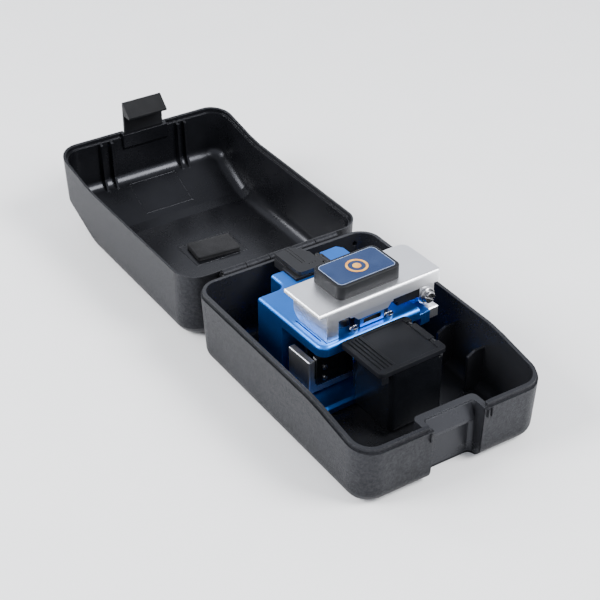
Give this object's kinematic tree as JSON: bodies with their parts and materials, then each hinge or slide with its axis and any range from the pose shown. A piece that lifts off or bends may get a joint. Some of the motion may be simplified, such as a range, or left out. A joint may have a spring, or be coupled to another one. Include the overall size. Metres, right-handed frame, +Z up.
{
  "type": "fiber cleaver in carry case",
  "caption": "Open hinged carry case holding a bench fibre cleaver: anodised body, flip-up clamp arm with rubber pad, sliding blade carriage, clip-down fibre holder and lidded scrap bin.",
  "frame": {"origin": "on the floor under the middle of the case base", "axes": "+X along the lid's hinge line, +Y from the latch side of the base towards the hinge and the open lid, +Z up"},
  "size_m": [0.1014, 0.2846, 0.063],
  "materials": {
    "case_plastic": "fine moulded texture, satin",
    "steel": "turned steel",
    "foam": "black closed-cell foam",
    "blue_anodised": "bright blue anodised aluminium, fine blasted",
    "silver_aluminium": "satin clear anodised aluminium",
    "polished_aluminium": "machined and polished",
    "black_anodised": "black anodised aluminium, satin",
    "pad_rubber": "dark grey moulded rubber, satin",
    "label_film": "blue-grey printed film",
    "gold_print": "gold print",
    "bin_plastic": "dark grey moulded plastic, satin",
    "carbide": "ground carbide",
    "nitrile": "small rubber pads",
    "holder_plastic": "black anodised, lightly blasted"
  },
  "bodies": {
    "case_base": {"case_base": "case_plastic", "hinge_pin": "steel"},
    "case_lid": {"case_lid": "case_plastic", "lid_foam_pad": "foam"},
    "lid_latch": {"lid_latch": "case_plastic"},
    "cleaver": {"base_plate": "blue_anodised", "cleaver_feet": "nitrile", "base_screws": "steel", "cleaver_body": "blue_anodised", "bin_bracket": "black_anodised", "clamp_pads_lower": "nitrile", "arm_magnet": "steel", "jaw_guides": "black_anodised", "clamp_screws": "steel", "end_block": "silver_aluminium", "linear_rail": "steel", "rail_screws": "steel", "arm_pivot_screw": "steel", "pivot_washer": "steel", "pivot_nut": "steel"},
    "arm": {"top_arm": "silver_aluminium", "arm_pad": "pad_rubber", "pad_label": "label_film", "pad_emblem": "gold_print", "clamp_block": "silver_aluminium", "clamp_block_rear": "silver_aluminium", "clamp_pads_upper": "nitrile", "arm_stiffener": "black_anodised", "anvil_spring": "steel"},
    "anvil": {"anvil": "steel"},
    "carriage": {"blade_carriage": "polished_aluminium", "rail_block": "steel", "blade_holder": "black_anodised", "blade_holder_screws": "steel", "blade_axle": "steel"},
    "blade": {"blade_wheel": "carbide", "blade_hub": "steel"},
    "scrap_bin": {"scrap_bin": "bin_plastic", "bin_hinge_pin": "steel"},
    "scrap_bin_lid": {"scrap_bin_lid": "bin_plastic"},
    "fiber_holder": {"fiber_holder": "holder_plastic", "clip_pin": "steel"},
    "holder_clip": {"holder_clip": "holder_plastic"}
  },
  "joints": [
    {"name": "lid_hinge", "type": "hinge", "parent": "case_base", "child": "case_lid", "pos_m": [0, 0.07205, 0.03595], "axis": [-1, 0, 0], "range_deg": [-180, 0]},
    {"name": "latch_flex", "type": "hinge", "parent": "case_lid", "child": "lid_latch", "pos_m": [0.001, 0.2132, 0.0389], "axis": [-1, 0, 0], "range_deg": [0, 25], "stiffness_Nm_per_rad": 0.06},
    {"name": "cleaver_lift", "type": "slide", "parent": "case_base", "child": "cleaver", "axis": [0, 0, 1], "range_m": [0, 0.08]},
    {"name": "arm_hinge", "type": "hinge", "parent": "cleaver", "child": "arm", "pos_m": [0.03242, 0.00974, 0.0423], "axis": [-0.0384, 0.9993, 0], "range_deg": [0, 90]},
    {"name": "anvil_press", "type": "slide", "parent": "arm", "child": "anvil", "axis": [0, 0, 1], "range_m": [0, 0.0012], "stiffness_N_per_m": 150, "springref_m": -0.0012, "deforming": ["anvil_spring"]},
    {"name": "carriage_slide", "type": "slide", "parent": "cleaver", "child": "carriage", "axis": [0.9993, 0.0384, 0], "range_m": [0, 0.0255]},
    {"name": "blade_turn", "type": "hinge", "parent": "carriage", "child": "blade", "pos_m": [-0.0137, 0.01197, 0.0314], "axis": [-0.0384, 0.9993, 0], "continuous": true},
    {"name": "bin_pull", "type": "slide", "parent": "cleaver", "child": "scrap_bin", "axis": [0.0384, -0.9993, 0], "range_m": [0, 0.01]},
    {"name": "bin_lid_hinge", "type": "hinge", "parent": "scrap_bin", "child": "scrap_bin_lid", "pos_m": [0.01555, -0.02263, 0.03945], "axis": [-0.0384, 0.9993, 0], "range_deg": [0, 105]},
    {"name": "holder_lift", "type": "slide", "parent": "cleaver", "child": "fiber_holder", "axis": [0, 0, 1], "range_m": [0, 0.03]},
    {"name": "clip_hinge", "type": "hinge", "parent": "fiber_holder", "child": "holder_clip", "pos_m": [0.00949, 0.04899, 0.0423], "axis": [-0.0384, 0.9993, 0], "range_deg": [0, 100]}
  ]
}
